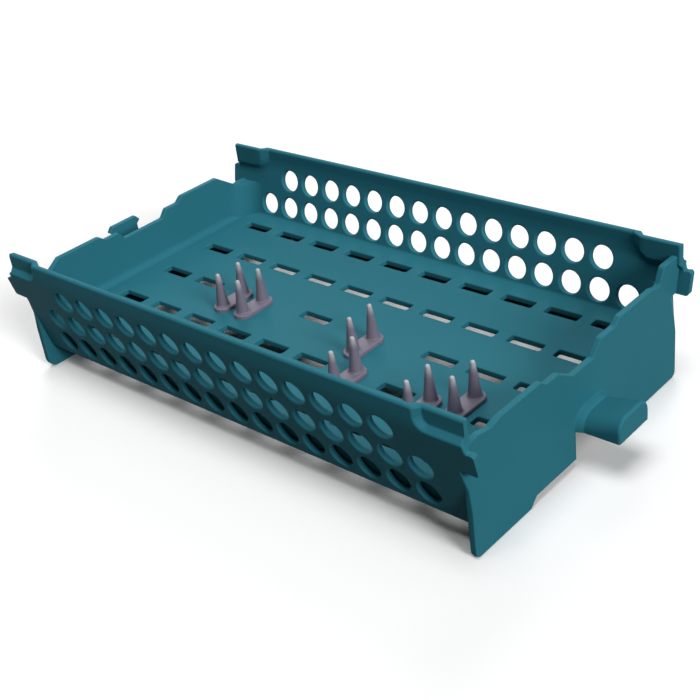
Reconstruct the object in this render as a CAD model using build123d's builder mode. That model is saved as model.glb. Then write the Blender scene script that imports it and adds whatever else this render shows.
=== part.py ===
"""Instrument organizer: a perforated basket tray on feet, with silicone finger inserts.

Millimetres, +Z up. The origin is on the surface the tray stands on, under the middle of the tray.
X runs along the long side and -Y is the front.
"""
from build123d import *
from math import cos, radians, sin, tan
import os

# Walls and overall size
WALL = 2.5
END_FACE_X = 114.5
RIM_TOP_Z = 55.2
SIDE_BOTTOM_Z = 10.0
SIDE_TILT = 12.9
SIDE_REFERENCE_Y = 62.7
SIDE_REFERENCE_Z = 29.3
BAND_OUTER_Y = 68.2
BAND_BEND = 30.0
RIM_ROUND = 1.0

# Hole pattern of the side walls
HOLE_DIAMETER = 9.5
HOLE_PITCH = 12.7
LONG_ROW_COUNT = 16
SHORT_ROW_COUNT = 14
UPPER_ROW_Z = 41.8
MIDDLE_ROW_Z = SIDE_REFERENCE_Z
LOWER_ROW_Z = 17.6

# Ears: the ends of the rim band, jogged inwards, with slopes round the pocket and the pad
EAR_JOG = 2.3
EAR_OVERHANG = 1.1
EAR_LENGTH = 18.1
EAR_POCKET_Z = 47.0
EAR_POCKET_ROUND = 3.0
EAR_POCKET_SLOPE = 2.3
EAR_PAD_LEAD = 2.5
EAR_PAD_ROUND = 4.0
EAR_PAD_SLOPE = 4.5
EAR_PAD_RISE = 2.3
EAR_FRAME_ROUND = 1.0

# Lobes: the ends of the side walls, which lap past the end walls
LOBE_OVERHANG = 4.9
LOBE_BOTTOM_Z = 35.6
LOBE_TOP_Z = 44.5
LOBE_STEP_X = 1.1
LOBE_STEP_Z = 3.1
LOBE_ROUND = 1.2

# Top outline of the end walls
RIGHT_BACK_HALF = 6.6
RIGHT_BACK_RUN = 5.2
RIGHT_FRONT_HALF = 5.8
RIGHT_FRONT_RUN = 8.4
RIGHT_MIDDLE_Z = 37.8
LEFT_MIDDLE_HALF = 11.0
LEFT_MIDDLE_Z = 39.4
LEFT_MIDDLE_RUN = 3.0
END_STEP_HALF = 21.0
END_STEP_Z = 42.9
END_STEP_RUN = 3.0
END_SHOULDER_HALF = 46.0
END_SHOULDER_Z = 45.2
STEP_ROUND = 1.5
CORNER_ROUND = 2.0

# Corners of that outline: run from the shoulder to the dip, then from the dip to the rise
RIGHT_BACK_DIP_RUN = 4.8
RIGHT_BACK_DIP_Z = 43.8
RIGHT_BACK_RISE_RUN = 3.3
RIGHT_BACK_RISE_Z = 50.5
RIGHT_FRONT_DIP_RUN = 5.5
RIGHT_FRONT_DIP_Z = 44.0
RIGHT_FRONT_RISE_RUN = 6.7
RIGHT_FRONT_RISE_Z = 45.3
LEFT_DIP_RUN = 11.0
LEFT_DIP_Z = 37.8
LEFT_RISE_RUN = 2.0
LEFT_RISE_Z = 38.4

# Feet of the end walls
FOOT_INNER_Y = 32.9
FOOT_OUTER_Y = 63.5
FOOT_ARCH_Z = 3.3
FOOT_ARCH_RUN = 3.6
RIGHT_FOOT_ROUND = 2.7
LEFT_FOOT_ROUND = 4.5
CORNER_CUT_Y = 58.5
CORNER_CUT_START_Z = 18.5

# Both lugs reach this far past the faces of the end walls
LUG_REACH = 16.9

# Hood lug of the right end wall
HOOD_FRONT_Y = -5.1
HOOD_BACK_Y = 13.7
HOOD_EDGE_Z = 15.2
HOOD_ROOT_Z = 21.8
HOOD_ROOT_ROUND = 6.0
HOOD_TIP_Z = 24.6
HOOD_TIP_CORNER = 5.0
HOOD_WALL = 2.2
HOOD_TIP_ROUND = 1.0
HOOD_FLARE = 1.2
HOOD_FLARE_RUN = 3.0

# Tongue lug of the left end wall
TONGUE_SHELF_Z = 24.0
TONGUE_TOP_Z = 38.1
TONGUE_HEAD_Z = 34.3
TONGUE_MIDDLE_Y = 1.9
TONGUE_ROOT_HALF = 7.4
TONGUE_NECK_HALF = 6.9
TONGUE_HEAD_HALF = 8.8
TONGUE_CORNER = 1.6
TONGUE_BEND = 7.0

# Floor
FLOOR_TOP_Z = 22.0
FLOOR_CLEARANCE = 0.05
COVE_RISE = 2.4
COVE_RUN = 3.2
COVE_LIP = 0.9
SLOT_LENGTH = 15.0
SLOT_WIDTH = 5.0
SLOT_PITCH_X = 21.0
SLOT_PITCH_Y = 25.4
SLOT_COLUMNS = 10
SLOT_ROWS = 5
SLOT_CORNER = 0.8
LEDGE_REACH = 5.0
LEDGE_DROP = 7.5
LEDGE_LIP = 1.0
LEDGE_WIDTH = 3.0
LEDGE_PITCH = 3 * HOLE_PITCH
LEDGE_COUNT = 5

# Silicone finger inserts
FINGER_PITCH = 11.6
FINGER_TIP_Z = 38.2
FINGER_TIP_RADIUS = 0.95
FINGER_ROOT_RADIUS = 2.6
FINGER_FLARE = 0.8
PAD_WIDTH = 8.0
PAD_THICKNESS = 1.8
TAIL_RADIUS = 2.0
TAIL_CLEARANCE = 0.2
BARB_RADIUS = 3.0
BARB_LENGTH = 5.0
BARB_TIP_RADIUS = 1.5
# Middle of each pair of fingers, X and Y
PAIR_PLACES = [
    (68.5, -31.1),
    (80.3, -21.1),
    (32.8, -29.9),
    (22.4, -8.1),
    (-38.2, -7.8),
    (-50.0, -7.8),
]

SIDE_HALF_WALL = WALL / 2 / cos(radians(SIDE_TILT))
BAND_INNER_Y = BAND_OUTER_Y - WALL
EAR_OUTER_Y = BAND_OUTER_Y - EAR_JOG
EAR_INNER_Y = EAR_OUTER_Y - WALL
EAR_END_X = END_FACE_X + EAR_OVERHANG
EAR_START_X = EAR_END_X - EAR_LENGTH
EAR_PAD_Z = EAR_POCKET_Z - WALL
LOBE_END_X = END_FACE_X + LOBE_OVERHANG
LUG_END_X = END_FACE_X + LUG_REACH
END_INNER_X = END_FACE_X - WALL
FLOOR_BOTTOM_Z = FLOOR_TOP_Z - WALL
# A length and a small step beside the sizes of the tray
REACH = 2 * LUG_END_X
NEAR = 0.5

os.makedirs("parts", exist_ok=True)


def side_middle_y(z):
    """Distance of the side wall's middle plane from the centre line at height z."""
    return SIDE_REFERENCE_Y + (z - SIDE_REFERENCE_Z) * tan(radians(SIDE_TILT))


def side_inner_y(z):
    return side_middle_y(z) - SIDE_HALF_WALL


def side_outer_y(z):
    return side_middle_y(z) + SIDE_HALF_WALL


def height_where_side_is(y, offset):
    """Height at which the side wall's face, offset from its middle plane, is at distance y."""
    return SIDE_REFERENCE_Z + (y - offset - SIDE_REFERENCE_Y) / tan(radians(SIDE_TILT))


def ear_outline(y, start_x, bottom_z, corner):
    """Area of a right ear in the plane at distance y, open upwards and towards the end."""
    with BuildSketch(Plane.XZ.offset(-y)) as outline:
        with BuildLine():
            Polyline(
                (start_x, REACH),
                (start_x, bottom_z),
                (REACH, bottom_z),
                (REACH, REACH),
                close=True,
            )
        make_face()
        fillet(vertices().group_by(Axis.Y)[0].sort_by(Axis.X)[0], corner)
    return outline.sketch


# Pads of the ears: they thicken the band inwards behind the slopes
with BuildPart() as ear_pads:
    pad_face = ear_outline(
        EAR_INNER_Y,
        EAR_START_X - EAR_PAD_LEAD + EAR_PAD_SLOPE,
        EAR_PAD_Z + EAR_PAD_RISE,
        EAR_PAD_ROUND,
    )
    pad_root = ear_outline(
        BAND_INNER_Y, EAR_START_X - EAR_PAD_LEAD, EAR_PAD_Z, EAR_PAD_ROUND + EAR_PAD_SLOPE
    )
    loft([pad_face, pad_root])
    extrude(pad_root, amount=-WALL / 2)
    mirror(about=Plane.YZ)

# Pockets of the ears: they take the same depth off the outside
with BuildPart() as ear_pockets:
    pocket_face = ear_outline(
        EAR_OUTER_Y,
        EAR_START_X + EAR_POCKET_SLOPE,
        EAR_POCKET_Z + EAR_POCKET_SLOPE,
        EAR_POCKET_ROUND,
    )
    pocket_mouth = ear_outline(
        BAND_OUTER_Y, EAR_START_X, EAR_POCKET_Z, EAR_POCKET_ROUND + EAR_POCKET_SLOPE
    )
    loft([pocket_face, pocket_mouth])
    extrude(pocket_mouth, amount=-WALL)
    mirror(about=Plane.YZ)

# Back side wall: tapered plate with a vertical rim band, cut to its long outline
with BuildPart() as back_side_wall:
    knee_outer_z = height_where_side_is(BAND_OUTER_Y, SIDE_HALF_WALL)
    knee_inner_z = height_where_side_is(BAND_INNER_Y, -SIDE_HALF_WALL)
    with BuildSketch(Plane.YZ):
        with BuildLine():
            Polyline(
                (side_inner_y(SIDE_BOTTOM_Z), SIDE_BOTTOM_Z),
                (side_outer_y(SIDE_BOTTOM_Z), SIDE_BOTTOM_Z),
                (BAND_OUTER_Y, knee_outer_z),
                (BAND_OUTER_Y, RIM_TOP_Z),
                (BAND_INNER_Y, RIM_TOP_Z),
                (BAND_INNER_Y, knee_inner_z),
                close=True,
            )
        make_face()
        straight = RIM_TOP_Z - RIM_ROUND - max(knee_outer_z, knee_inner_z)
        bend_limit = straight / tan(radians(SIDE_TILT / 2)) - NEAR
        fillet(vertices().sort_by(Axis.Y)[2:4], min(BAND_BEND, bend_limit))
        fillet(vertices().group_by(Axis.Y)[-1], RIM_ROUND)
    extrude(amount=LOBE_END_X, both=True)
    add(ear_pads.part)

    # Long outline: butt ends below the lobes, stepped lobes, and the ears' ends above them
    with BuildSketch(Plane.XZ):
        with BuildLine():
            Polyline(
                (0, SIDE_BOTTOM_Z),
                (END_INNER_X, SIDE_BOTTOM_Z),
                (END_INNER_X, LOBE_BOTTOM_Z),
                (LOBE_END_X, LOBE_BOTTOM_Z),
                (LOBE_END_X, LOBE_TOP_Z),
                (EAR_END_X + LOBE_STEP_X, LOBE_TOP_Z),
                (EAR_END_X, LOBE_TOP_Z + LOBE_STEP_Z),
                (EAR_END_X, RIM_TOP_Z),
                (0, RIM_TOP_Z),
                close=True,
            )
        make_face()
        fillet(vertices().group_by(Axis.X)[-1], LOBE_ROUND)
        mirror(about=Plane.YZ)
    extrude(amount=REACH, both=True, mode=Mode.INTERSECT)

    # Round holes, square to the tapered wall
    tilt = radians(SIDE_TILT)
    wall_plane = Plane(
        origin=(0, SIDE_REFERENCE_Y, SIDE_REFERENCE_Z),
        x_dir=(-1, 0, 0),
        z_dir=(0, cos(tilt), -sin(tilt)),
    )
    for row_z, count in (
        (UPPER_ROW_Z, SHORT_ROW_COUNT),
        (MIDDLE_ROW_Z, LONG_ROW_COUNT),
        (LOWER_ROW_Z, LONG_ROW_COUNT),
    ):
        with BuildSketch(wall_plane):
            with Locations((0, (row_z - SIDE_REFERENCE_Z) / cos(tilt))):
                with GridLocations(HOLE_PITCH, 0, count, 1):
                    Circle(HOLE_DIAMETER / 2)
        extrude(amount=2 * WALL, both=True, mode=Mode.SUBTRACT)

    # The pockets that make the ears, with soft frames
    add(ear_pockets.part, mode=Mode.SUBTRACT)
    for depth in (EAR_OUTER_Y, BAND_OUTER_Y):
        frame_edges = [
            edge
            for edge in edges()
            if EAR_START_X - NEAR < abs(edge.center().X) < EAR_END_X - NEAR
            and EAR_POCKET_Z - NEAR < edge.center().Z < RIM_TOP_Z - RIM_ROUND
            and abs(edge.center().Y - depth) < NEAR
        ]
        fillet(frame_edges, EAR_FRAME_ROUND)

    # Gussets that carry the floor, on the webs between the holes
    for place in range(LEDGE_COUNT):
        middle_x = (place - (LEDGE_COUNT - 1) / 2) * LEDGE_PITCH
        with BuildSketch(Plane.YZ.offset(middle_x - LEDGE_WIDTH / 2)):
            with BuildLine():
                Polyline(
                    (side_middle_y(FLOOR_BOTTOM_Z), FLOOR_BOTTOM_Z),
                    (side_inner_y(FLOOR_BOTTOM_Z) - LEDGE_REACH, FLOOR_BOTTOM_Z),
                    (side_inner_y(FLOOR_BOTTOM_Z) - LEDGE_REACH, FLOOR_BOTTOM_Z - LEDGE_LIP),
                    (side_middle_y(FLOOR_BOTTOM_Z - LEDGE_DROP), FLOOR_BOTTOM_Z - LEDGE_DROP),
                    close=True,
                )
            make_face()
        extrude(amount=LEDGE_WIDTH)
back_side_wall.part.label = "back_side_wall"
export_step(back_side_wall.part, "parts/back_side_wall.step")

# Front side wall: the same wall, handed
with BuildPart() as front_side_wall:
    add(back_side_wall.part.mirror(Plane.XZ))
front_side_wall.part.label = "front_side_wall"
export_step(front_side_wall.part, "parts/front_side_wall.step")


def end_wall_half(middle, corner, foot_round):
    """Back half of an end wall's outline, Y and Z, from the middle to the side wall."""
    middle_half, middle_z, middle_run = middle
    dip_run, dip_z, rise_run, rise_z = corner
    dip_y = END_SHOULDER_HALF + dip_run
    rise_y = dip_y + rise_run
    slope_lead = BAND_INNER_Y - side_inner_y(EAR_PAD_Z)
    slope_z = EAR_PAD_Z + slope_lead / (tan(radians(SIDE_TILT)) + EAR_JOG / EAR_PAD_RISE)
    joint = [(side_inner_y(LOBE_BOTTOM_Z), LOBE_BOTTOM_Z)]
    if rise_z > EAR_PAD_Z + EAR_PAD_RISE:
        joint += [
            (side_inner_y(slope_z), slope_z),
            (EAR_INNER_Y, EAR_PAD_Z + EAR_PAD_RISE),
            (EAR_INNER_Y, rise_z),
        ]
    else:
        joint_z = min(rise_z, EAR_PAD_Z)
        joint += [(side_inner_y(joint_z), joint_z)]
    with BuildSketch() as half:
        with BuildLine():
            Polyline(
                (0, middle_z),
                (0, FOOT_ARCH_Z),
                (FOOT_INNER_Y - FOOT_ARCH_RUN, FOOT_ARCH_Z),
                (FOOT_INNER_Y, 0),
                (FOOT_OUTER_Y, 0),
                (FOOT_OUTER_Y, height_where_side_is(FOOT_OUTER_Y, SIDE_HALF_WALL)),
                (side_outer_y(LOBE_BOTTOM_Z), LOBE_BOTTOM_Z),
                *joint,
                (rise_y, rise_z),
                (dip_y, dip_z),
                (END_SHOULDER_HALF, END_SHOULDER_Z),
                (END_STEP_HALF + END_STEP_RUN, END_SHOULDER_Z),
                (END_STEP_HALF, END_STEP_Z),
                (middle_half + middle_run, END_STEP_Z),
                (middle_half, middle_z),
                close=True,
            )
        make_face()
        top = vertices().filter_by_position(Axis.X, middle_half - NEAR, END_SHOULDER_HALF - NEAR)
        fillet(top.filter_by_position(Axis.Y, middle_z - NEAR, END_SHOULDER_Z + NEAR), STEP_ROUND)
        bends = vertices().filter_by_position(Axis.X, dip_y - NEAR, rise_y + NEAR)
        fillet(bends.filter_by_position(Axis.Y, dip_z - NEAR, rise_z + NEAR), CORNER_ROUND)
        fillet(vertices().group_by(Axis.Y)[0].sort_by(Axis.X)[-1], foot_round)
    return half.sketch


def end_wall_plate(back_half, front_half):
    """End wall with its stepped top and its feet, from two half outlines; stands at +X."""
    with BuildPart() as plate:
        with BuildSketch(Plane.YZ.offset(END_INNER_X)):
            add(back_half)
            add(front_half.mirror(Plane.YZ))
        extrude(amount=WALL)

        # The corner below each lobe is cut back, deeper towards the lobe
        cut_drop = LOBE_BOTTOM_Z - CORNER_CUT_START_Z
        cut_spread = FOOT_OUTER_Y - CORNER_CUT_Y
        facet_slope = (side_outer_y(LOBE_BOTTOM_Z) - CORNER_CUT_Y) / WALL
        with BuildSketch(Plane.XY.offset(LOBE_BOTTOM_Z)) as facet:
            with BuildLine():
                Polyline(
                    (END_FACE_X + WALL, CORNER_CUT_Y - WALL * facet_slope),
                    (END_INNER_X - WALL, CORNER_CUT_Y + 2 * WALL * facet_slope),
                    (END_FACE_X + WALL, CORNER_CUT_Y + 2 * WALL * facet_slope),
                    close=True,
                )
            make_face()
        cut_length = (cut_drop**2 + cut_spread**2) ** 0.5
        for side, sketch in ((1, facet.sketch), (-1, facet.sketch.mirror(Plane.XZ))):
            slant = (0, side * cut_spread, -cut_drop)
            extrude(sketch, amount=cut_length, dir=slant, mode=Mode.SUBTRACT)
    return plate.part


def hood_section(x, top_z, corner, inset):
    """Section of the hood in a plane square to X: flat foot, upright sides, round top corners."""
    with BuildSketch(Plane.YZ.offset(x)) as section:
        with BuildLine():
            Polyline(
                (HOOD_FRONT_Y + inset, HOOD_EDGE_Z),
                (HOOD_BACK_Y - inset, HOOD_EDGE_Z),
                (HOOD_BACK_Y - inset, top_z - inset),
                (HOOD_FRONT_Y + inset, top_z - inset),
                close=True,
            )
        make_face()
        fillet(vertices().group_by(Axis.Y)[-1], corner - inset)
    return section.sketch


# Right end wall: plate with a cut-out in its foot edge and a hood over it
with BuildPart() as right_end_wall:
    back_half = end_wall_half(
        (RIGHT_BACK_HALF, RIGHT_MIDDLE_Z, RIGHT_BACK_RUN),
        (RIGHT_BACK_DIP_RUN, RIGHT_BACK_DIP_Z, RIGHT_BACK_RISE_RUN, RIGHT_BACK_RISE_Z),
        RIGHT_FOOT_ROUND,
    )
    front_half = end_wall_half(
        (RIGHT_FRONT_HALF, RIGHT_MIDDLE_Z, RIGHT_FRONT_RUN),
        (RIGHT_FRONT_DIP_RUN, RIGHT_FRONT_DIP_Z, RIGHT_FRONT_RISE_RUN, RIGHT_FRONT_RISE_Z),
        RIGHT_FOOT_ROUND,
    )
    add(end_wall_plate(back_half, front_half))
    with BuildSketch(Plane.YZ.offset(END_INNER_X)):
        with BuildLine():
            Polyline(
                (HOOD_FRONT_Y, 0),
                (HOOD_BACK_Y, 0),
                (HOOD_BACK_Y, HOOD_EDGE_Z),
                (HOOD_FRONT_Y, HOOD_EDGE_Z),
                close=True,
            )
        make_face()
    extrude(amount=WALL, mode=Mode.SUBTRACT)
    hood_root = hood_section(END_FACE_X, HOOD_ROOT_Z, HOOD_ROOT_ROUND, -HOOD_FLARE)
    hood_neck = hood_section(END_FACE_X + HOOD_FLARE_RUN, HOOD_ROOT_Z, HOOD_ROOT_ROUND, 0)
    hood_tip = hood_section(LUG_END_X, HOOD_TIP_Z, HOOD_TIP_CORNER, 0)
    loft([hood_root, hood_neck])
    loft([hood_neck, hood_tip])
    tip_edges = faces().sort_by(Axis.X)[-1].edges().group_by(Axis.Z)[1:]
    fillet([edge for level in tip_edges for edge in level], HOOD_TIP_ROUND)
    hollow = [
        hood_section(END_FACE_X, HOOD_ROOT_Z, HOOD_ROOT_ROUND, HOOD_WALL),
        hood_section(LUG_END_X - HOOD_WALL, HOOD_TIP_Z, HOOD_TIP_CORNER, HOOD_WALL),
    ]
    loft(hollow, mode=Mode.SUBTRACT)
right_end_wall.part.label = "right_end_wall"
export_step(right_end_wall.part, "parts/right_end_wall.step")

# Tongue lug: a bent strip, cut to a T-headed outline
with BuildPart() as tongue:
    with BuildSketch(Plane.XZ):
        with BuildLine():
            Polyline(
                (-END_FACE_X, TONGUE_SHELF_Z),
                (-LUG_END_X, TONGUE_SHELF_Z),
                (-LUG_END_X, TONGUE_TOP_Z),
                (-LUG_END_X + WALL, TONGUE_TOP_Z),
                (-LUG_END_X + WALL, TONGUE_SHELF_Z + WALL),
                (-END_FACE_X, TONGUE_SHELF_Z + WALL),
                close=True,
            )
        make_face()
        shelf = (TONGUE_SHELF_Z - NEAR, TONGUE_SHELF_Z + WALL + NEAR)
        bend = vertices().filter_by_position(Axis.Y, *shelf)
        fillet(bend.sort_by(Axis.X)[0], TONGUE_BEND)
        fillet(bend.sort_by(Axis.X)[1], TONGUE_BEND - WALL)
    extrude(amount=REACH, both=True)
    with BuildSketch(Plane.YZ):
        with BuildLine():
            Polyline(
                (TONGUE_MIDDLE_Y, TONGUE_SHELF_Z),
                (TONGUE_MIDDLE_Y + TONGUE_ROOT_HALF, TONGUE_SHELF_Z),
                (TONGUE_MIDDLE_Y + TONGUE_NECK_HALF, TONGUE_HEAD_Z),
                (TONGUE_MIDDLE_Y + TONGUE_HEAD_HALF, TONGUE_HEAD_Z + TONGUE_CORNER),
                (TONGUE_MIDDLE_Y + TONGUE_NECK_HALF, TONGUE_TOP_Z),
                (TONGUE_MIDDLE_Y, TONGUE_TOP_Z),
                close=True,
            )
        make_face()
        mirror(about=Plane.YZ.offset(TONGUE_MIDDLE_Y))
    extrude(amount=-REACH, mode=Mode.INTERSECT)

# Left end wall: the plate turned to the other end, with the tongue
with BuildPart() as left_end_wall:
    left_half = end_wall_half(
        (LEFT_MIDDLE_HALF, LEFT_MIDDLE_Z, LEFT_MIDDLE_RUN),
        (LEFT_DIP_RUN, LEFT_DIP_Z, LEFT_RISE_RUN, LEFT_RISE_Z),
        LEFT_FOOT_ROUND,
    )
    add(end_wall_plate(left_half, left_half).mirror(Plane.YZ))
    add(tongue.part)
left_end_wall.part.label = "left_end_wall"
export_step(left_end_wall.part, "parts/left_end_wall.step")

# Floor: slotted plate with coved long edges, laid on the gussets between the side walls
finger_places = [
    (x, y + side * FINGER_PITCH / 2) for x, y in PAIR_PLACES for side in (-1, 1)
]


def slot_is_clear(slot):
    """True where a drain slot leaves a wall's thickness round every tail hole."""
    reach_x = SLOT_LENGTH / 2 + TAIL_RADIUS + WALL
    reach_y = SLOT_WIDTH / 2 + TAIL_RADIUS + WALL
    return all(
        abs(slot.X - x) > reach_x or abs(slot.Y - y) > reach_y for x, y in finger_places
    )


with BuildPart() as floor_tray:
    floor_half = side_inner_y(FLOOR_BOTTOM_Z) - FLOOR_CLEARANCE
    lip_z = FLOOR_TOP_Z + COVE_RISE
    lip_half = side_inner_y(lip_z) - FLOOR_CLEARANCE
    with BuildSketch(Plane.YZ):
        with BuildLine():
            Polyline(
                (0, FLOOR_TOP_Z),
                (0, FLOOR_BOTTOM_Z),
                (floor_half, FLOOR_BOTTOM_Z),
                (lip_half, lip_z),
                (lip_half - COVE_LIP, lip_z),
            )
            Spline(
                (lip_half - COVE_LIP, lip_z),
                (lip_half - COVE_LIP - COVE_RUN, FLOOR_TOP_Z),
                tangents=((0, -1), (-1, 0)),
            )
            Line((lip_half - COVE_LIP - COVE_RUN, FLOOR_TOP_Z), (0, FLOOR_TOP_Z))
        make_face()
        mirror(about=Plane.YZ)
    extrude(amount=END_INNER_X - FLOOR_CLEARANCE, both=True)
    slot_grid = GridLocations(SLOT_PITCH_X, SLOT_PITCH_Y, SLOT_COLUMNS, SLOT_ROWS)
    with BuildSketch(Plane.XY.offset(FLOOR_TOP_Z)):
        with Locations([place.position for place in slot_grid if slot_is_clear(place.position)]):
            RectangleRounded(SLOT_LENGTH, SLOT_WIDTH, SLOT_CORNER)
        with Locations(finger_places):
            Circle(TAIL_RADIUS + TAIL_CLEARANCE)
    extrude(amount=-WALL, mode=Mode.SUBTRACT)
floor_tray.part.label = "floor_tray"
export_step(floor_tray.part, "parts/floor_tray.step")

# One silicone finger with its barbed tail, about the Z axis
pad_top_z = FLOOR_TOP_Z + PAD_THICKNESS
with BuildPart() as finger:
    with BuildSketch(Plane.XZ):
        with BuildLine():
            Polyline(
                (0, FINGER_TIP_Z),
                (0, FLOOR_BOTTOM_Z - BARB_LENGTH),
                (BARB_TIP_RADIUS, FLOOR_BOTTOM_Z - BARB_LENGTH),
                (BARB_RADIUS, FLOOR_BOTTOM_Z),
                (TAIL_RADIUS, FLOOR_BOTTOM_Z),
                (TAIL_RADIUS, FLOOR_TOP_Z),
                (FINGER_ROOT_RADIUS + FINGER_FLARE, FLOOR_TOP_Z),
                (FINGER_ROOT_RADIUS + FINGER_FLARE, pad_top_z),
                (FINGER_ROOT_RADIUS, pad_top_z + FINGER_FLARE),
                (FINGER_TIP_RADIUS, FINGER_TIP_Z - FINGER_TIP_RADIUS),
            )
            ThreePointArc(
                (FINGER_TIP_RADIUS, FINGER_TIP_Z - FINGER_TIP_RADIUS),
                (
                    FINGER_TIP_RADIUS * cos(radians(45)),
                    FINGER_TIP_Z - FINGER_TIP_RADIUS * (1 - sin(radians(45))),
                ),
                (0, FINGER_TIP_Z),
            )
        make_face()
    revolve(axis=Axis.Z)

# Finger pairs: two fingers on one pad, tails through the floor
for number, (pair_x, pair_y) in enumerate(PAIR_PLACES, start=1):
    with BuildPart() as finger_pair:
        with BuildSketch(Plane.XY.offset(FLOOR_TOP_Z)):
            with Locations((pair_x, pair_y)):
                SlotOverall(FINGER_PITCH + PAD_WIDTH, PAD_WIDTH, rotation=90)
        extrude(amount=PAD_THICKNESS)
        for side in (-1, 1):
            with Locations((pair_x, pair_y + side * FINGER_PITCH / 2)):
                add(finger.part)
    finger_pair.part.label = f"finger_pair_{number}"
    export_step(finger_pair.part, f"parts/finger_pair_{number}.step")
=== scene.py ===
"""Looks of the instrument organizer: a moulded teal basket tray with upright silicone fingers.

The file is laid out as an add-on and is run as a script. Lengths are metres.
"""
from math import ceil, copysign, cos, floor, pi, radians, sin

import bmesh
import bpy
from mathutils import Matrix, Vector
from mathutils.bvhtree import BVHTree


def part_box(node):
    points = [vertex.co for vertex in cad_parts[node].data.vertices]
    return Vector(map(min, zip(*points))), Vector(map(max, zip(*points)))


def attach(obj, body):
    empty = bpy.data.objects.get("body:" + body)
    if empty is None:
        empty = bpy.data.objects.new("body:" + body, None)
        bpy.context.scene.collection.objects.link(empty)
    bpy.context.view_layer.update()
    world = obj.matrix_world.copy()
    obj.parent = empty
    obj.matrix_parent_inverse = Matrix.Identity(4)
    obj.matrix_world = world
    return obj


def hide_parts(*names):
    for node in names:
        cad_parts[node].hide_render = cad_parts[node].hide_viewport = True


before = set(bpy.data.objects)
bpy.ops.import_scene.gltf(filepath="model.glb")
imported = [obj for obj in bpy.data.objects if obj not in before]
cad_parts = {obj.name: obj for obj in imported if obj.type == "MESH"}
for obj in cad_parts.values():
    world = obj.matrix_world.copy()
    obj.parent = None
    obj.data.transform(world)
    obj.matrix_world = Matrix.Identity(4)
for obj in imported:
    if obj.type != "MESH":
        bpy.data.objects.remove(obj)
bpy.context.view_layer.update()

bl_info = {
    "name": "Instrument Organizer",
    "version": (1, 0, 0),
    "blender": (4, 5, 0),
    "location": "3D View > Sidebar > Organizer",
    "description": "Finishes the tray's mouldings and silicone fingers and sets up the studio",
    "category": "Object",
}

MM = 0.001
BODY = "root"
# Flat faces are cut across at every quarter of the hole pitch, so that none goes round a hole
CUT_STEP = 3.175 * MM
# Heights between the rows of holes, where the side walls are cut across as well
ROW_GAPS_Z = (23.65 * MM, 35.75 * MM)
SIDE_WALLS = ("front_side_wall", "back_side_wall")
END_WALLS = ("left_end_wall", "right_end_wall")
PANELS = (*SIDE_WALLS, *END_WALLS, "floor_tray")
# Points this close become one point, and faces within so many degrees one flat face
MERGE_REACH = 0.002 * MM
FLAT_ANGLE = 0.6
# A cut that passes this close to a point goes through it
CUT_REACH = 0.005 * MM
# Degrees between two faces from which their edge counts as sharp
SHARP_ANGLE = 35
# An edge this close to another panel is part of a joint
JOINT_REACH = 0.12 * MM
# Finer edges belong to curves that the part's own model has rounded already
LEAST_EDGE = 0.19 * MM
# Inner faces of the side walls: they lean out from their foot up to the upright rim band
SIDE_FOOT_Z = 10 * MM
SIDE_FOOT_Y = 57 * MM
SIDE_LEAN = 0.229
BAND_INNER_Y = 63.4 * MM
END_INNER_X = 112 * MM
# The coves start at the floor's top and end just under the end walls' low corners
FLOOR_TOP_Z = 22 * MM
COVE_TOP_Z = 38 * MM
COVE_SLOPE = 2 * MM
COVE_STEPS = 12
# Top of the coves along the side walls, just under the middle row of holes
SIDE_COVE_TOP_Z = 24.8 * MM
# Share of their height that the floor's upturned edges lose, to lie under those coves
LIP_DROP = 0.85
# Added bodies go this deep into the faces they grow from
SEAT = 0.3 * MM
SKIRT_HALF = 111 * MM
SKIRT_TOP_Z = 19.6 * MM
SKIRT_BOTTOM_Z = 10.1 * MM
SKIRT_GAP = 0.3 * MM
SKIRT_WALL = 1.5 * MM
# Steps round the edges' rounds, the pads' rounds, a finger's tip and its flare
EDGE_STEPS = 3
PAD_STEPS = 4
TIP_STEPS = 6
FLARE_STEPS = 5
# Heights between which a finger's colour turns pale, a painted glow that stands in for light passing
# through its thin tip
PAINTED_GLOW_FROM_Z = 33 * MM
PAINTED_GLOW_TO_Z = 38 * MM
# Size and height of the silicone's fine mottling, and how deep light sinks into it
BLOOM_SIZE = 1.5 * MM
BLOOM_DEPTH = 0.02 * MM
LIGHT_DEPTH = 1.5 * MM
# Where the lamps shine from, and how wide each looks in degrees
TOP_LAMP = (Vector((0.0, -0.15, 1.0)), 35)
SIDE_LAMP = (Vector((1.0, -0.2, 0.5)), 24)
BACK_LAMP = (Vector((-0.7, 0.9, 0.6)), 40)
GROUND_RADIUS = 6.0
GROUND_SIDES = 64
FINGER_PAIRS = tuple(sorted(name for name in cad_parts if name.startswith("finger_pair")))


def linear(hex_code, alpha=1.0):
    """A colour written as an sRGB hex code, in Blender's linear light."""
    levels = [int(hex_code[place:place + 2], 16) / 255 for place in (1, 3, 5)]
    return [
        level / 12.92 if level <= 0.04045 else ((level + 0.055) / 1.055) ** 2.4 for level in levels
    ] + [alpha]


def add_node(tree, kind, inputs=None, **settings):
    """Adds a node; inputs maps a socket's name or number to a constant or to another socket."""
    node = tree.nodes.new(kind)
    for name, value in settings.items():
        setattr(node, name, value)
    for socket, value in (inputs or {}).items():
        if isinstance(value, bpy.types.NodeSocket):
            tree.links.new(value, node.inputs[socket])
        else:
            node.inputs[socket].default_value = value
    return node


def new_material(name):
    """An empty node material."""
    material = bpy.data.materials.new(name)
    material.use_nodes = True
    material.node_tree.nodes.clear()
    return material


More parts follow.
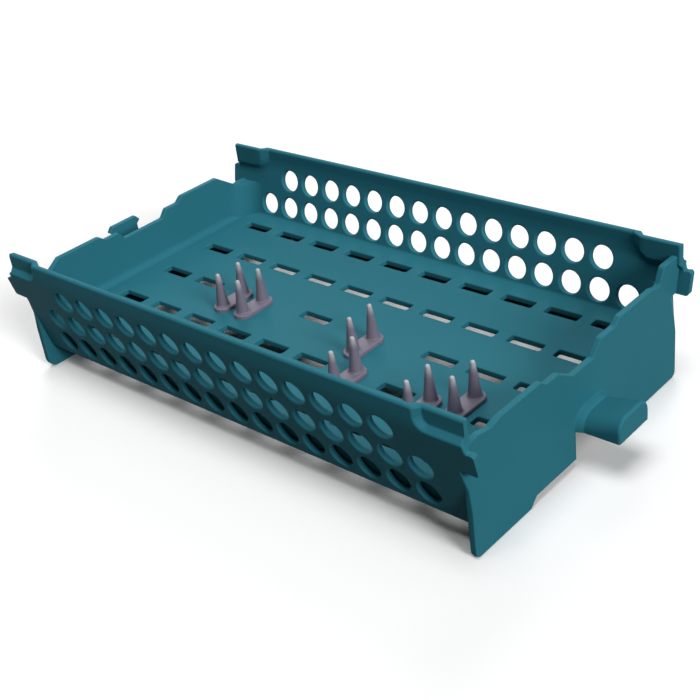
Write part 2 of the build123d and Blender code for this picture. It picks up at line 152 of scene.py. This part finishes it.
class TrayPlasticSettings(bpy.types.PropertyGroup):
    """Sizes and colours of the moulded polypropylene."""

    edge_round: bpy.props.FloatProperty(
        name="Edge round",
        description="Radius that the mould leaves on the panels' edges",
        default=0.45 * MM,
        min=0.05 * MM,
        max=1.0 * MM,
        unit="LENGTH",
        precision=5,
    )
    corner_cove: bpy.props.FloatProperty(
        name="Corner cove",
        description="Radius of the coves in the tray's upright inner corners",
        default=11 * MM,
        unit="LENGTH",
    )
    foot_cove: bpy.props.FloatProperty(
        name="Foot cove",
        description="Radius of the coves along the feet of the end walls",
        default=3 * MM,
        unit="LENGTH",
        precision=4,
    )
    side_cove: bpy.props.FloatProperty(
        name="Side cove",
        description="Width of the coves along the feet of the side walls",
        default=6.5 * MM,
        unit="LENGTH",
        precision=4,
    )
    hole_round: bpy.props.FloatProperty(
        name="Hole round",
        description="Radius that the mould leaves on the rims of the side walls' holes",
        default=0.7 * MM,
        min=0.05 * MM,
        max=1.0 * MM,
        unit="LENGTH",
        precision=5,
    )
    flow_size: bpy.props.FloatProperty(
        name="Flow size",
        description="Size of the faint cloudiness that the melt leaves in the panels",
        default=45 * MM,
        unit="LENGTH",
    )
    grain_size: bpy.props.FloatProperty(
        name="Grain size",
        description="Size of the mould's spark-eroded grain, drawn coarser than the real 0.1 mm",
        default=0.55 * MM,
        unit="LENGTH",
        precision=5,
    )
    grain_depth: bpy.props.FloatProperty(
        name="Grain depth",
        description="Height of the grain",
        default=0.012 * MM,
        unit="LENGTH",
        precision=6,
    )
    colour: bpy.props.FloatVectorProperty(
        name="Colour",
        description="Colour of the moulded panels",
        default=linear("#2C6F7D")[:3],
        size=3,
        subtype="COLOR",
        min=0.0,
        max=1.0,
    )
    deep_colour: bpy.props.FloatVectorProperty(
        name="Deep colour",
        description="Colour of the darker clouds",
        default=linear("#276775")[:3],
        size=3,
        subtype="COLOR",
        min=0.0,
        max=1.0,
    )


class FingerSettings(bpy.types.PropertyGroup):
    """Sizes and colours of the silicone fingers."""

    sides: bpy.props.IntProperty(
        name="Sides",
        description="Steps round each finger",
        default=40,
        min=12,
        max=96,
    )
    root_radius: bpy.props.FloatProperty(
        name="Root radius",
        description="Radius of a finger just above its pad",
        default=2.6 * MM,
        unit="LENGTH",
        precision=5,
    )
    tip_radius: bpy.props.FloatProperty(
        name="Tip radius",
        description="Radius of a finger's round tip",
        default=0.95 * MM,
        unit="LENGTH",
        precision=5,
    )
    flare: bpy.props.FloatProperty(
        name="Flare",
        description="Width and height of the soft flare where a finger grows out of its pad",
        default=0.8 * MM,
        unit="LENGTH",
        precision=5,
    )
    pad_base: bpy.props.FloatProperty(
        name="Pad base",
        description="Height of the floor's top, on which the pads lie",
        default=FLOOR_TOP_Z,
        unit="LENGTH",
    )
    pad_thickness: bpy.props.FloatProperty(
        name="Pad thickness",
        description="Thickness of a pad",
        default=1.8 * MM,
        unit="LENGTH",
        precision=5,
    )
    pad_round: bpy.props.FloatProperty(
        name="Pad round",
        description="Radius on a pad's upper edge",
        default=0.6 * MM,
        unit="LENGTH",
        precision=5,
    )
    tail_radius: bpy.props.FloatProperty(
        name="Tail radius",
        description="Radius of the tail that goes through the floor",
        default=2 * MM,
        unit="LENGTH",
        precision=5,
    )
    barb_radius: bpy.props.FloatProperty(
        name="Barb radius",
        description="Radius of the barb that holds the tail",
        default=3 * MM,
        unit="LENGTH",
        precision=5,
    )
    barb_top: bpy.props.FloatProperty(
        name="Barb top",
        description="Height of the floor's underside, where the barb starts",
        default=19.5 * MM,
        unit="LENGTH",
    )
    colour: bpy.props.FloatVectorProperty(
        name="Colour",
        description="Colour of the silicone",
        default=linear("#6F6A7A")[:3],
        size=3,
        subtype="COLOR",
        min=0.0,
        max=1.0,
    )
    # Painted glow: this pale colour stands in for light passing through the thin tips, not a colour of
    # the silicone itself
    painted_tip_glow: bpy.props.FloatVectorProperty(
        name="Tip colour",
        description="Colour of the thin tips, through which light passes",
        default=linear("#A6A6AC")[:3],
        size=3,
        subtype="COLOR",
        min=0.0,
        max=1.0,
    )


class StudioSettings(bpy.types.PropertyGroup):
    """Floor, light and camera."""

    camera_azimuth: bpy.props.FloatProperty(
        name="Camera azimuth",
        description="Turn of the camera round the tray, from the front towards the right",
        default=radians(45.31),
        subtype="ANGLE",
    )
    camera_elevation: bpy.props.FloatProperty(
        name="Camera elevation",
        description="Height of the camera above the horizon",
        default=radians(30.38),
        subtype="ANGLE",
    )
    camera_roll: bpy.props.FloatProperty(
        name="Camera roll",
        description="Turn of the camera about its own line of sight",
        default=radians(-7.88),
        subtype="ANGLE",
    )
    camera_place: bpy.props.FloatVectorProperty(
        name="Camera place",
        description="Where the camera stands",
        default=(303.3 * MM, -293.5 * MM, 256.5 * MM),
        size=3,
        subtype="XYZ",
        unit="LENGTH",
    )
    lens: bpy.props.FloatProperty(
        name="Lens",
        description="Focal length in millimetres on a 36 mm sensor",
        default=62.55,
    )
    top_level: bpy.props.FloatProperty(
        name="Top level",
        description="Level of the soft lamp overhead; 1 shows a face square to it as written",
        default=0.55,
    )
    side_level: bpy.props.FloatProperty(
        name="Side level",
        description="Level of the soft lamp on the right",
        default=0.9,
    )
    back_level: bpy.props.FloatProperty(
        name="Back level",
        description="Level of the soft lamp behind on the left",
        default=0.4,
    )
    world_level: bpy.props.FloatProperty(
        name="World level",
        description="Level of the light that comes from all round",
        default=0.035,
    )


def tray_plastic():
    """Satin moulded polypropylene, teal.

    The spark-eroded mould gives a fine even grain that breaks up the weak gloss, and the melt leaves
    a faint cloudiness, so that the large panels don't look like flat paint.
    """
    settings = bpy.context.scene.tray_plastic
    material = new_material("satin_polypropylene")
    tree = material.node_tree
    place = add_node(tree, "ShaderNodeTexCoord").outputs["Object"]

    clouds = add_node(
        tree,
        "ShaderNodeTexNoise",
        {"Vector": place, "Scale": 1 / settings.flow_size, "Detail": 3.0, "Roughness": 0.55},
    )
    colour = add_node(
        tree,
        "ShaderNodeMix",
        {
            "Factor": clouds.outputs["Fac"],
            "A": [*settings.deep_colour, 1.0],
            "B": [*settings.colour, 1.0],
        },
        data_type="RGBA",
    )
    grain = add_node(
        tree,
        "ShaderNodeTexNoise",
        {"Vector": place, "Scale": 1 / settings.grain_size, "Detail": 2.0, "Roughness": 0.6},
    )
    gloss = add_node(
        tree,
        "ShaderNodeMapRange",
        {
            "Value": grain.outputs["Fac"],
            "From Min": 0.3,
            "From Max": 0.7,
            "To Min": 0.5,
            "To Max": 0.62,
        },
    )
    relief = add_node(
        tree,
        "ShaderNodeBump",
        {"Height": grain.outputs["Fac"], "Distance": settings.grain_depth, "Strength": 1.0},
    )
    shader = add_node(
        tree,
        "ShaderNodeBsdfPrincipled",
        {
            "Base Color": colour.outputs["Result"],
            "Roughness": gloss.outputs["Result"],
            "Normal": relief.outputs["Normal"],
            "IOR": 1.49,
            "Specular IOR Level": 0.03,
        },
    )
    add_node(tree, "ShaderNodeOutputMaterial", {"Surface": shader.outputs["BSDF"]})
    return material


def finger_silicone():
    """Moulded silicone rubber, violet grey.

    Light sinks into it, so the surface stays soft and dull. The pale tips are painted light: the
    colour turns paler towards the top as a painted glow of light passing through the thin tips.
    """
    settings = bpy.context.scene.fingers
    material = new_material("moulded_silicone")
    tree = material.node_tree
    place = add_node(tree, "ShaderNodeTexCoord").outputs["Object"]
    bloom = add_node(
        tree,
        "ShaderNodeTexNoise",
        {"Vector": place, "Scale": 1 / BLOOM_SIZE, "Detail": 3.0, "Roughness": 0.6},
    )
    height = add_node(tree, "ShaderNodeSeparateXYZ", {"Vector": place}).outputs["Z"]
    # Painted glow: the colour is blended to the pale tip colour between the two glow heights, standing
    # in for light passing through the thin tips
    painted_glow_mask = add_node(
        tree,
        "ShaderNodeMapRange",
        {"Value": height, "From Min": PAINTED_GLOW_FROM_Z, "From Max": PAINTED_GLOW_TO_Z, "To Max": 1.0},
        interpolation_type="SMOOTHSTEP",
    )
    body = add_node(
        tree,
        "ShaderNodeMix",
        {
            "Factor": bloom.outputs["Fac"],
            "A": [*(level * 0.88 for level in settings.colour), 1.0],
            "B": [*settings.colour, 1.0],
        },
        data_type="RGBA",
    )
    colour = add_node(
        tree,
        "ShaderNodeMix",
        {
            "Factor": painted_glow_mask.outputs["Result"],
            "A": body.outputs["Result"],
            "B": [*settings.painted_tip_glow, 1.0],
        },
        data_type="RGBA",
    )
    relief = add_node(
        tree,
        "ShaderNodeBump",
        {"Height": bloom.outputs["Fac"], "Distance": BLOOM_DEPTH, "Strength": 1.0},
    )
    shader = add_node(
        tree,
        "ShaderNodeBsdfPrincipled",
        {
            "Base Color": colour.outputs["Result"],
            "Roughness": 0.6,
            "Normal": relief.outputs["Normal"],
            "IOR": 1.41,
            "Subsurface Weight": 0.6,
            "Subsurface Scale": LIGHT_DEPTH,
            "Subsurface Radius": (1.0, 0.9, 0.9),
        },
    )
    add_node(tree, "ShaderNodeOutputMaterial", {"Surface": shader.outputs["BSDF"]})
    return material


def material_called(name, make):
    """The material of that name, made the first time it is asked for."""
    return bpy.data.materials.get(name) or make()


def finish_piece(mesh, name, nodes, material):
    """Makes the bmesh a shown piece that stands for the CAD nodes."""
    for edge in mesh.edges:
        edge.smooth = edge.is_manifold and edge.calc_face_angle() < radians(SHARP_ANGLE)
    data = bpy.data.meshes.new(name)
    mesh.to_mesh(data)
    mesh.free()
    for polygon in data.polygons:
        polygon.use_smooth = True
    data.materials.append(material)
    piece = bpy.data.objects.new(name, data)
    bpy.context.scene.collection.objects.link(piece)
    weights = piece.modifiers.new("flat_faces_stay_flat", "WEIGHTED_NORMAL")
    weights.keep_sharp = True
    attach(piece, BODY)
    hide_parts(*nodes)


def finish_moulding(mesh, node):
    """Makes the bmesh the finished moulding of one panel."""
    plastic = material_called("satin_polypropylene", tray_plastic)
    finish_piece(mesh, f"{node}_moulding", [node], plastic)


def merged_copy(node):
    """A copy of a CAD node's mesh with its triangles joined into flat faces."""
    mesh = bmesh.new()
    mesh.from_mesh(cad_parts[node].data)
    bmesh.ops.remove_doubles(mesh, verts=mesh.verts, dist=MERGE_REACH)
    bmesh.ops.dissolve_degenerate(mesh, edges=mesh.edges, dist=MERGE_REACH)
    bmesh.ops.dissolve_limit(
        mesh,
        angle_limit=radians(FLAT_ANGLE),
        verts=mesh.verts,
        edges=mesh.edges,
        use_dissolve_boundaries=False,
    )
    return mesh


def joint_trees(node):
    """Search trees of the panels that the node's panel may touch."""
    trees = []
    for other in PANELS:
        if other != node:
            mesh = merged_copy(other)
            bmesh.ops.triangulate(mesh, faces=mesh.faces)
            trees.append(BVHTree.FromBMesh(mesh))
            mesh.free()
    return trees


def cut_across(mesh, place, direction):
    """Divides the faces that a plane crosses, without parting the mesh."""
    bmesh.ops.bisect_plane(
        mesh,
        geom=[*mesh.verts, *mesh.edges, *mesh.faces],
        dist=CUT_REACH,
        plane_co=place,
        plane_no=direction,
    )


def moulded_copy(node, edge_round, least_edge=0.0):
    """A merged copy of a panel with its free sharp edges rounded; joints stay tight."""
    mesh = merged_copy(node)
    trees = joint_trees(node)
    free = []
    for edge in mesh.edges:
        middle = (edge.verts[0].co + edge.verts[1].co) / 2
        sharp = edge.is_manifold and edge.calc_face_angle() > radians(SHARP_ANGLE)
        sharp = sharp and edge.calc_length() >= least_edge
        if sharp and not any(tree.find_nearest(middle, JOINT_REACH)[0] for tree in trees):
            free.append(edge)
    bmesh.ops.bevel(
        mesh,
        geom=free,
        offset=edge_round,
        offset_type="OFFSET",
        affect="EDGES",
        segments=EDGE_STEPS,
        profile=0.5,
        material=-1,
        clamp_overlap=False,
    )
    lo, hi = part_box(node)
    for count in range(ceil(lo.x / CUT_STEP), floor(hi.x / CUT_STEP) + 1):
        cut_across(mesh, (count * CUT_STEP, 0.0, 0.0), (1.0, 0.0, 0.0))
    return mesh


def add_sections(mesh, sections):
    """Adds a closed body through rings of points that follow one another."""
    rings = [[mesh.verts.new(place) for place in section] for section in sections]
    faces = [mesh.faces.new(rings[0]), mesh.faces.new(rings[-1])]
    for low, high in zip(rings, rings[1:]):
        for place in range(len(low)):
            after = (place + 1) % len(low)
            faces.append(mesh.faces.new((low[place], low[after], high[after], high[place])))
    bmesh.ops.recalc_face_normals(mesh, faces=faces)


def side_inner_y(z):
    """Half the width between the side walls' inner faces at height z."""
    return min(SIDE_FOOT_Y + SIDE_LEAN * (z - SIDE_FOOT_Z), BAND_INNER_Y)


def cove_ring(radius):
    """Outline of a cove in a corner at (0, 0), as steps along its two faces."""
    ring = [(-SEAT, -SEAT), (radius, -SEAT)]
    for step in range(COVE_STEPS + 1):
        turn = radians(90 * step / COVE_STEPS)
        ring.append((radius - radius * sin(turn), radius - radius * cos(turn)))
    return [*ring, (-SEAT, radius)]


def add_corner_cove(mesh, end_x, side, settings):
    """Adds the cove where an end wall runs into a side wall."""
    inward = -1 if end_x > 0 else 1
    sections = []
    for z, radius in (
        (FLOOR_TOP_Z, settings.corner_cove),
        (COVE_TOP_Z - COVE_SLOPE, settings.corner_cove),
        (COVE_TOP_Z, settings.corner_cove - COVE_SLOPE / 2),
    ):
        wall_y = side_inner_y(z)
        sections.append(
            [(end_x + inward * out, side * (wall_y - along), z) for out, along in cove_ring(radius)]
        )
    add_sections(mesh, sections)


def add_foot_cove(mesh, end_x, settings):
    """Adds the cove where an end wall runs into the floor."""
    inward = -1 if end_x > 0 else 1
    half = side_inner_y(settings.foot_cove + FLOOR_TOP_Z) - SEAT
    ring = cove_ring(settings.foot_cove)
    add_sections(
        mesh,
        [
            [(end_x + inward * out, y, FLOOR_TOP_Z + along) for out, along in ring]
            for y in (-half, half)
        ],
    )


def lower_lips(mesh):
    """Brings the floor's upturned edges down along the side walls."""
    for vert in mesh.verts:
        drop = (vert.co.z - FLOOR_TOP_Z) * LIP_DROP
        if drop > 0.0:
            vert.co.z -= drop
            vert.co.y -= copysign(SIDE_LEAN * drop, vert.co.y)


def add_side_cove(mesh, side, settings):
    """Adds the cove where the floor runs into a side wall."""
    run = settings.side_cove
    rise = SIDE_COVE_TOP_Z - FLOOR_TOP_Z
    wall_y = side_inner_y(SIDE_COVE_TOP_Z)
    ring = [(wall_y - run, FLOOR_TOP_Z - SEAT)]
    for step in range(COVE_STEPS + 1):
        turn = radians(90 * step / COVE_STEPS)
        ring.append((wall_y - run + run * sin(turn), SIDE_COVE_TOP_Z - rise * cos(turn)))
    ring.append((wall_y + SEAT, SIDE_COVE_TOP_Z))
    ring.append((side_inner_y(FLOOR_TOP_Z) + SEAT, FLOOR_TOP_Z - SEAT))
    half = END_INNER_X + SEAT
    add_sections(mesh, [[(x, side * y, z) for y, z in ring] for x in (-half, half)])


def add_skirt(mesh, side):
    """Adds the flange that hangs from the floor's long edge, seen through the lowest holes."""
    sections = []
    for x in (-SKIRT_HALF, SKIRT_HALF):
        ring = []
        for z, depth in (
            (SKIRT_TOP_Z, SKIRT_GAP),
            (SKIRT_BOTTOM_Z, SKIRT_GAP),
            (SKIRT_BOTTOM_Z, SKIRT_GAP + SKIRT_WALL),
            (SKIRT_TOP_Z, SKIRT_GAP + SKIRT_WALL),
        ):
            ring.append((x, side * (side_inner_y(z) - depth), z))
        sections.append(ring)
    add_sections(mesh, sections)


def add_pad(mesh, lo, hi, settings):
    """Adds a pad with round ends and a soft upper edge, filling the box's plan."""
    radius = (hi.x - lo.x) / 2
    steps = settings.sides // 2
    rim = []
    for end_y, start in ((hi.y - radius, 0.0), (lo.y + radius, pi)):
        for step in range(steps + 1):
            turn = start + pi * step / steps
            place = (lo.x + radius + radius * cos(turn), end_y + radius * sin(turn), settings.pad_base)
            rim.append(mesh.verts.new(place))
    base = mesh.faces.new(rim)
    raised = bmesh.ops.extrude_face_region(mesh, geom=[base], use_keep_orig=True)["geom"]
    top_verts = [part for part in raised if isinstance(part, bmesh.types.BMVert)]
    bmesh.ops.translate(mesh, verts=top_verts, vec=(0.0, 0.0, settings.pad_thickness))
    top_edges = [part for part in raised if isinstance(part, bmesh.types.BMEdge)]
    bmesh.ops.bevel(
        mesh,
        geom=top_edges,
        offset=settings.pad_round,
        offset_type="OFFSET",
        affect="EDGES",
        segments=PAD_STEPS,
        profile=0.5,
        material=-1,
    )


def add_finger(mesh, centre_x, centre_y, lo, hi, settings):
    """Adds one finger with its tail and barb, spun about its own upright axis."""
    pad_top = settings.pad_base + settings.pad_thickness
    root, tip, flare = settings.root_radius, settings.tip_radius, settings.flare
    profile = [(0.0, hi.z)]
    for step in range(1, TIP_STEPS + 1):
        turn = radians(90 * step / TIP_STEPS)
        profile.append((tip * sin(turn), hi.z - tip + tip * cos(turn)))
    profile.append((root, pad_top + flare))
    for step in range(1, FLARE_STEPS + 1):
        turn = radians(90 * step / FLARE_STEPS)
        profile.append((root + flare - flare * cos(turn), pad_top + flare - flare * sin(turn)))
    profile += [
        (root + flare, pad_top - settings.pad_thickness / 2),
        (settings.tail_radius, pad_top - settings.pad_thickness / 2),
        (settings.tail_radius, settings.barb_top),
        (settings.barb_radius, settings.barb_top),
        (settings.barb_radius / 2, lo.z),
        (0.0, lo.z),
    ]
    verts = [mesh.verts.new((centre_x + out, centre_y, z)) for out, z in profile]
    edges = [mesh.edges.new(pair) for pair in zip(verts, verts[1:])]
    bmesh.ops.spin(
        mesh,
        geom=[*verts, *edges],
        cent=(centre_x, centre_y, 0.0),
        axis=(0.0, 0.0, 1.0),
        angle=2 * pi,
        steps=settings.sides,
        use_merge=True,
    )


class ORGANIZER_OT_side_walls(bpy.types.Operator):
    """Rounds and finishes the two perforated side walls"""

    bl_idname = "organizer.side_walls"
    bl_label = "Side Walls"

    def execute(self, context):
        for node in SIDE_WALLS:
            mesh = moulded_copy(node, context.scene.tray_plastic.hole_round, LEAST_EDGE)
            for height in ROW_GAPS_Z:
                cut_across(mesh, (0.0, 0.0, height), (0.0, 0.0, 1.0))
            finish_moulding(mesh, node)
        return {"FINISHED"}


class ORGANIZER_OT_end_walls(bpy.types.Operator):
    """Rounds and finishes the two end walls with their lugs"""

    bl_idname = "organizer.end_walls"
    bl_label = "End Walls"

    def execute(self, context):
        settings = context.scene.tray_plastic
        for node, end_x in zip(END_WALLS, (-END_INNER_X, END_INNER_X)):
            mesh = moulded_copy(node, settings.edge_round)
            for side in (-1, 1):
                add_corner_cove(mesh, end_x, side, settings)
            add_foot_cove(mesh, end_x, settings)
            finish_moulding(mesh, node)
        return {"FINISHED"}


class ORGANIZER_OT_floor(bpy.types.Operator):
    """Rounds and finishes the slotted floor"""

    bl_idname = "organizer.floor"
    bl_label = "Floor"

    def execute(self, context):
        settings = context.scene.tray_plastic
        mesh = moulded_copy("floor_tray", settings.edge_round)
        lower_lips(mesh)
        for side in (-1, 1):
            add_side_cove(mesh, side, settings)
            add_skirt(mesh, side)
        finish_moulding(mesh, "floor_tray")
        return {"FINISHED"}


class ORGANIZER_OT_fingers(bpy.types.Operator):
    """Finishes the pairs of silicone fingers"""

    bl_idname = "organizer.fingers"
    bl_label = "Fingers"

    def execute(self, context):
        settings = context.scene.fingers
        silicone = material_called("moulded_silicone", finger_silicone)
        for node in FINGER_PAIRS:
            lo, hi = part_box(node)
            mesh = bmesh.new()
            add_pad(mesh, lo, hi, settings)
            width = hi.x - lo.x
            for centre_y in (lo.y + width / 2, hi.y - width / 2):
                add_finger(mesh, lo.x + width / 2, centre_y, lo, hi, settings)
            bmesh.ops.remove_doubles(mesh, verts=mesh.verts, dist=0.001 * MM)
            bmesh.ops.recalc_face_normals(mesh, faces=mesh.faces)
            finish_piece(mesh, f"{node}_silicone", [node], silicone)
        return {"FINISHED"}


def seen_from_eye(tree):
    """A socket that is 1 for rays from the camera, reflected and passed on ones too, else 0."""
    path = add_node(tree, "ShaderNodeLightPath")
    direct = add_node(
        tree,
        "ShaderNodeMath",
        {0: path.outputs["Is Camera Ray"], 1: path.outputs["Is Glossy Ray"]},
        operation="MAXIMUM",
    )
    seen = add_node(
        tree,
        "ShaderNodeMath",
        {0: direct.outputs[0], 1: path.outputs["Is Transmission Ray"]},
        operation="MAXIMUM",
    )
    return seen.outputs[0]


def add_soft_lamp(name, place, width, level):
    """A far soft lamp that shines from the place to the origin; level 1 shows white as white."""
    data = bpy.data.lights.new(name, "SUN")
    data.energy = pi * level
    data.angle = radians(width)
    lamp = bpy.data.objects.new(name, data)
    bpy.context.scene.collection.objects.link(lamp)
    lamp.location = place
    lamp.rotation_euler = (-place).to_track_quat("-Z", "Y").to_euler()


class ORGANIZER_OT_studio(bpy.types.Operator):
    """Lays the floor and sets the lamps and the camera"""

    bl_idname = "organizer.studio"
    bl_label = "Studio"

    def execute(self, context):
        settings = context.scene.studio
        self.lay_floor()
        self.set_light(settings)
        self.set_camera(context, settings)
        context.scene.view_settings.view_transform = "Standard"
        return {"FINISHED"}

    def lay_floor(self):
        """A plain floor, white to the eye and in reflections, that throws little light back."""
        mesh = bmesh.new()
        bmesh.ops.create_circle(
            mesh,
            cap_ends=True,
            segments=GROUND_SIDES,
            radius=GROUND_RADIUS,
        )
        data = bpy.data.meshes.new("studio_floor")
        mesh.to_mesh(data)
        mesh.free()
        ground = bpy.data.objects.new("studio_floor", data)
        bpy.context.scene.collection.objects.link(ground)
        material = new_material("white_paper_floor")
        tree = material.node_tree
        dull = add_node(tree, "ShaderNodeBsdfDiffuse", {"Color": linear("#343434")})
        pale = add_node(tree, "ShaderNodeBsdfDiffuse", {"Color": linear("#FBFBFB")})
        shown = add_node(
            tree,
            "ShaderNodeMixShader",
            {0: seen_from_eye(tree), 1: dull.outputs[0], 2: pale.outputs[0]},
        )
        add_node(tree, "ShaderNodeOutputMaterial", {"Surface": shown.outputs[0]})
        data.materials.append(material)

    def set_light(self, settings):
        """Soft lamps overhead, on the right and behind on the left, and a weak even world."""
        add_soft_lamp("top_lamp", *TOP_LAMP, settings.top_level)
        add_soft_lamp("side_lamp", *SIDE_LAMP, settings.side_level)
        add_soft_lamp("back_lamp", *BACK_LAMP, settings.back_level)
        world = bpy.data.worlds.new("studio_world")
        world.use_nodes = True
        tree = world.node_tree
        tree.nodes.clear()
        level = add_node(
            tree,
            "ShaderNodeMath",
            {0: seen_from_eye(tree), 1: settings.world_level},
            operation="MAXIMUM",
        )
        light = add_node(
            tree,
            "ShaderNodeBackground",
            {"Color": linear("#FFFFFF"), "Strength": level.outputs[0]},
        )
        add_node(tree, "ShaderNodeOutputWorld", {"Surface": light.outputs[0]})
        bpy.context.scene.world = world

    def set_camera(self, context, settings):
        """The photograph's point of view, worked out for a square picture."""
        turn, lift, roll = settings.camera_azimuth, settings.camera_elevation, settings.camera_roll
        ahead = Vector((-sin(turn) * cos(lift), cos(turn) * cos(lift), -sin(lift)))
        right = ahead.cross(Vector((0.0, 0.0, 1.0))).normalized()
        up = right.cross(ahead)
        right_rolled = right * cos(roll) + up * sin(roll)
        up_rolled = up * cos(roll) - right * sin(roll)
        data = bpy.data.cameras.new("photo_camera")
        data.sensor_width = 36.0
        data.lens = settings.lens
        data.clip_start = 10 * MM
        camera = bpy.data.objects.new("photo_camera", data)
        context.scene.collection.objects.link(camera)
        axes = Matrix((right_rolled, up_rolled, -ahead)).transposed()
        camera.matrix_world = Matrix.Translation(Vector(settings.camera_place)) @ axes.to_4x4()
        context.scene.camera = camera


class ORGANIZER_PT_panel(bpy.types.Panel):
    """Lists the tray's settings and steps"""

    bl_idname = "ORGANIZER_PT_panel"
    bl_label = "Instrument Organizer"
    bl_space_type = "VIEW_3D"
    bl_region_type = "UI"
    bl_category = "Organizer"

    def draw(self, context):
        layout = self.layout
        for group in (context.scene.tray_plastic, context.scene.fingers, context.scene.studio):
            box = layout.box()
            for name in group.__annotations__:
                box.prop(group, name)
        for operator in OPERATORS:
            layout.operator(operator.bl_idname)


OPERATORS = (
    ORGANIZER_OT_floor,
    ORGANIZER_OT_side_walls,
    ORGANIZER_OT_end_walls,
    ORGANIZER_OT_fingers,
    ORGANIZER_OT_studio,
)
GROUPS = {
    "tray_plastic": TrayPlasticSettings,
    "fingers": FingerSettings,
    "studio": StudioSettings,
}


def register():
    for name, group in GROUPS.items():
        bpy.utils.register_class(group)
        setattr(bpy.types.Scene, name, bpy.props.PointerProperty(type=group))
    for each in (*OPERATORS, ORGANIZER_PT_panel):
        bpy.utils.register_class(each)


def unregister():
    for each in (ORGANIZER_PT_panel, *reversed(OPERATORS)):
        bpy.utils.unregister_class(each)
    for name, group in reversed(GROUPS.items()):
        delattr(bpy.types.Scene, name)
        bpy.utils.unregister_class(group)


def main():
    """Makes every piece in order."""
    register()
    bpy.ops.organizer.floor()
    bpy.ops.organizer.side_walls()
    bpy.ops.organizer.end_walls()
    bpy.ops.organizer.fingers()
    bpy.ops.organizer.studio()


if __name__ == "__main__":
    main()
